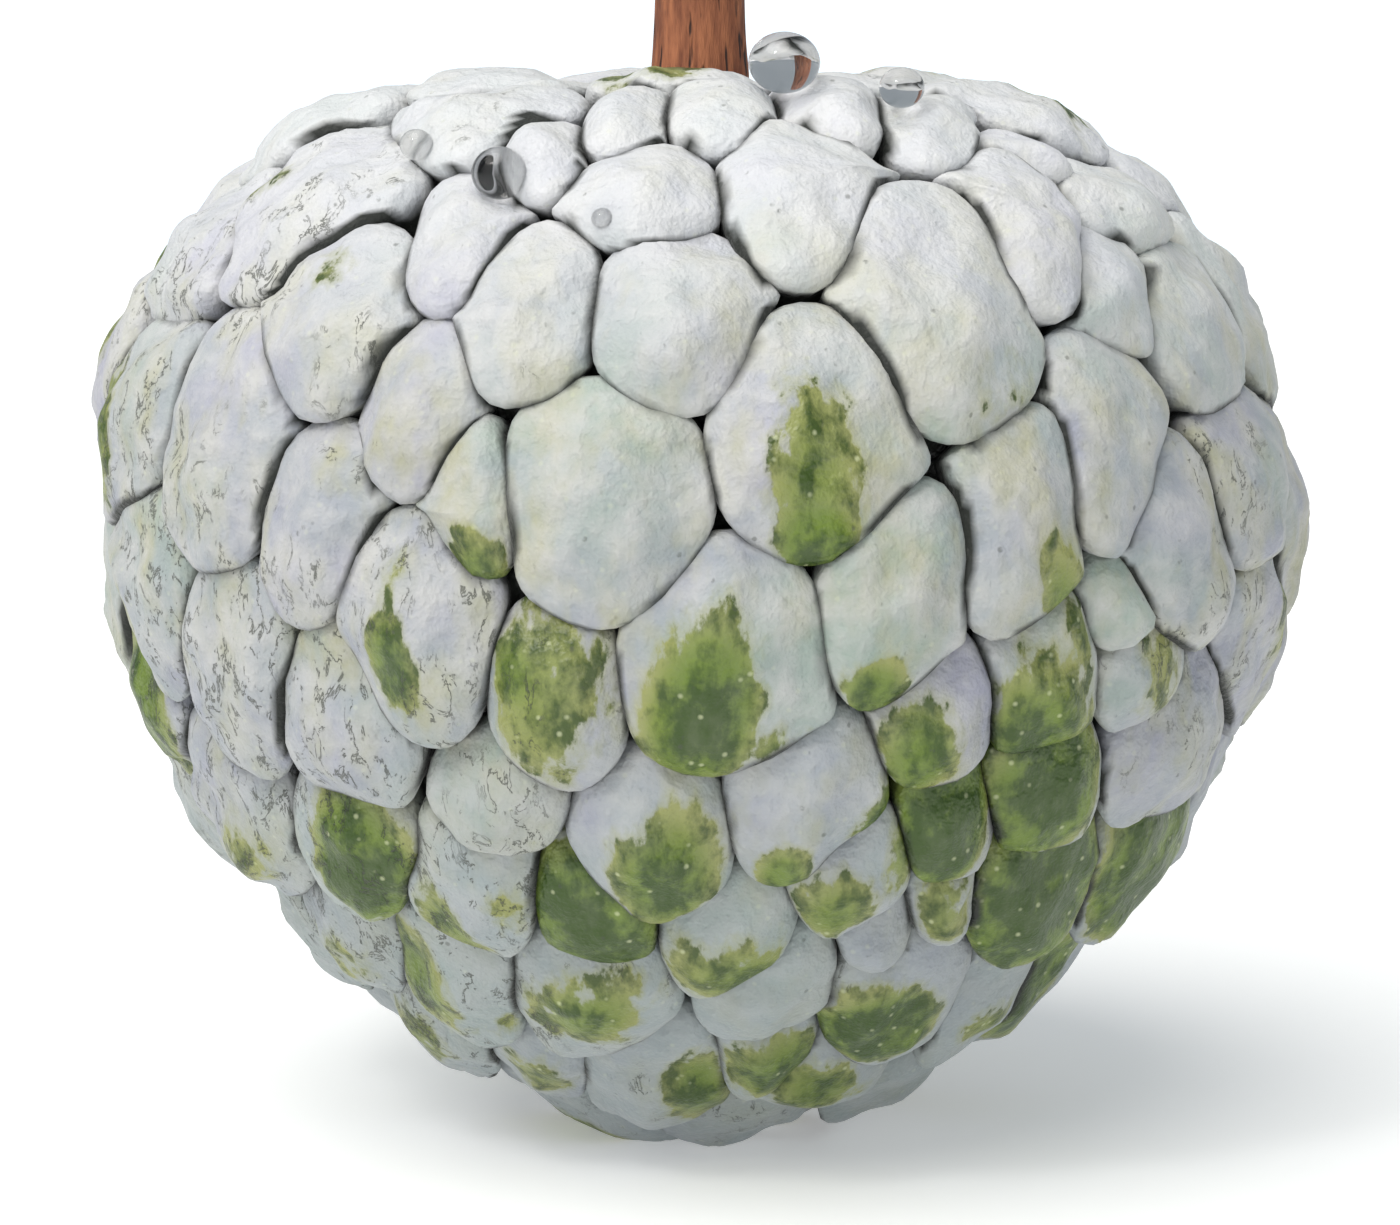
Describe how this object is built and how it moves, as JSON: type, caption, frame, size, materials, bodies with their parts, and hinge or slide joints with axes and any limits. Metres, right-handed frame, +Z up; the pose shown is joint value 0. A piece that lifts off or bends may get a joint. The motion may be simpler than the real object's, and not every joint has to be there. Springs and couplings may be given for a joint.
{
  "type": "custard apple",
  "caption": "Round green custard apple with blue-grey waxy bloom, overlapping knobbly segments, a cut woody stalk in the hollow at the top and beads of water; rests upright on its base",
  "frame": {"origin": "under the middle of the fruit, on the surface that it rests on", "axes": "+Z up along the stalk; -Y is the side that faced the camera; +X to its right"},
  "size_m": [0.0893, 0.0895, 0.0944],
  "materials": {
    "skin": "waxy bloom over green, matte",
    "stalk": "rough brown bark, pale cut end",
    "water": "clear"
  },
  "bodies": {
    "root": {"fruit": "skin", "stalk": "stalk", "water_drop_1": "water", "water_drop_2": "water", "water_drop_3": "water", "water_drop_4": "water", "water_drop_5": "water"}
  },
  "joints": []
}
